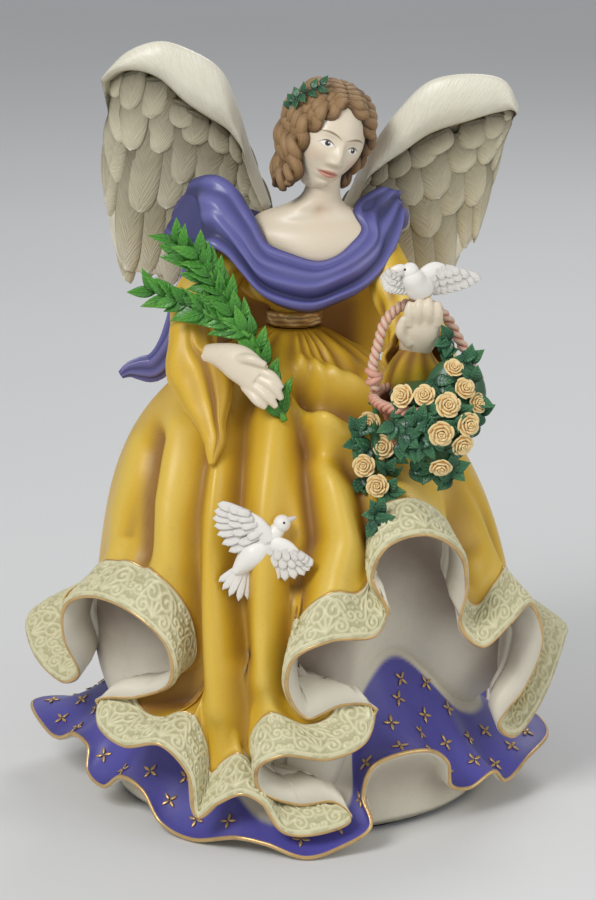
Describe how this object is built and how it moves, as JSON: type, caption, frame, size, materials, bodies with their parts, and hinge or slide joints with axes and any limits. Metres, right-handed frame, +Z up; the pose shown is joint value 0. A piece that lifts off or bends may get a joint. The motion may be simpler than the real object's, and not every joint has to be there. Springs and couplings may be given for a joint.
{
  "type": "angel figurine",
  "caption": "Free-standing angel figurine in a draped gown with spread wings, holding an olive branch and a hanging basket of roses, with doves; table decoration.",
  "frame": {"origin": "middle of the felt pad's underside, on the table", "axes": "+Z up, the angel faces -Y, +X to the angel's left"},
  "size_m": [0.2204, 0.1946, 0.2964],
  "materials": {
    "white_resin": "satin painted resin",
    "felt": "felt",
    "underskirt_paint": "satin painted resin",
    "gown_paint": "satin painted resin",
    "gold_paint": "gold painted resin",
    "skin_paint": "satin painted resin",
    "hair_paint": "matt painted resin",
    "shawl_paint": "satin painted resin",
    "wing_paint": "pearl painted resin",
    "peg_brass": "drawn rod",
    "olive_paint": "satin painted resin",
    "dove_paint": "satin painted resin",
    "basket_paint": "matt painted resin",
    "rope_paint": "matt painted resin",
    "rose_leaf_paint": "satin painted resin",
    "rose_paint": "satin painted resin"
  },
  "bodies": {
    "root": {"core": "white_resin", "felt_pad": "felt", "underskirt": "underskirt_paint", "gown_skirt": "gown_paint", "bodice": "gown_paint", "waist_belt": "gold_paint", "bust": "skin_paint", "head": "skin_paint", "hair": "hair_paint", "hair_sprig": "rose_leaf_paint", "shawl": "shawl_paint", "shawl_tail": "shawl_paint", "right_wing": "wing_paint", "left_wing": "wing_paint", "right_wing_peg": "peg_brass", "left_wing_peg": "peg_brass", "right_sleeve": "gown_paint", "left_sleeve": "gown_paint", "right_hand": "skin_paint", "left_hand": "skin_paint", "olive_branch": "olive_paint", "flying_dove": "dove_paint", "flying_dove_pin": "peg_brass", "perched_dove": "dove_paint", "basket_bowl": "basket_paint", "basket_handle": "rope_paint", "basket_greenery": "rose_leaf_paint", "garland_greenery": "rose_leaf_paint", "basket_rose_1": "rose_paint", "basket_rose_2": "rose_paint", "basket_rose_3": "rose_paint", "basket_rose_4": "rose_paint", "basket_rose_5": "rose_paint", "basket_rose_6": "rose_paint", "basket_rose_7": "rose_paint", "basket_rose_8": "rose_paint", "basket_rose_9": "rose_paint", "basket_rose_10": "rose_paint", "garland_rose_1": "rose_paint", "garland_rose_2": "rose_paint", "garland_rose_3": "rose_paint", "garland_rose_4": "rose_paint"}
  },
  "joints": []
}
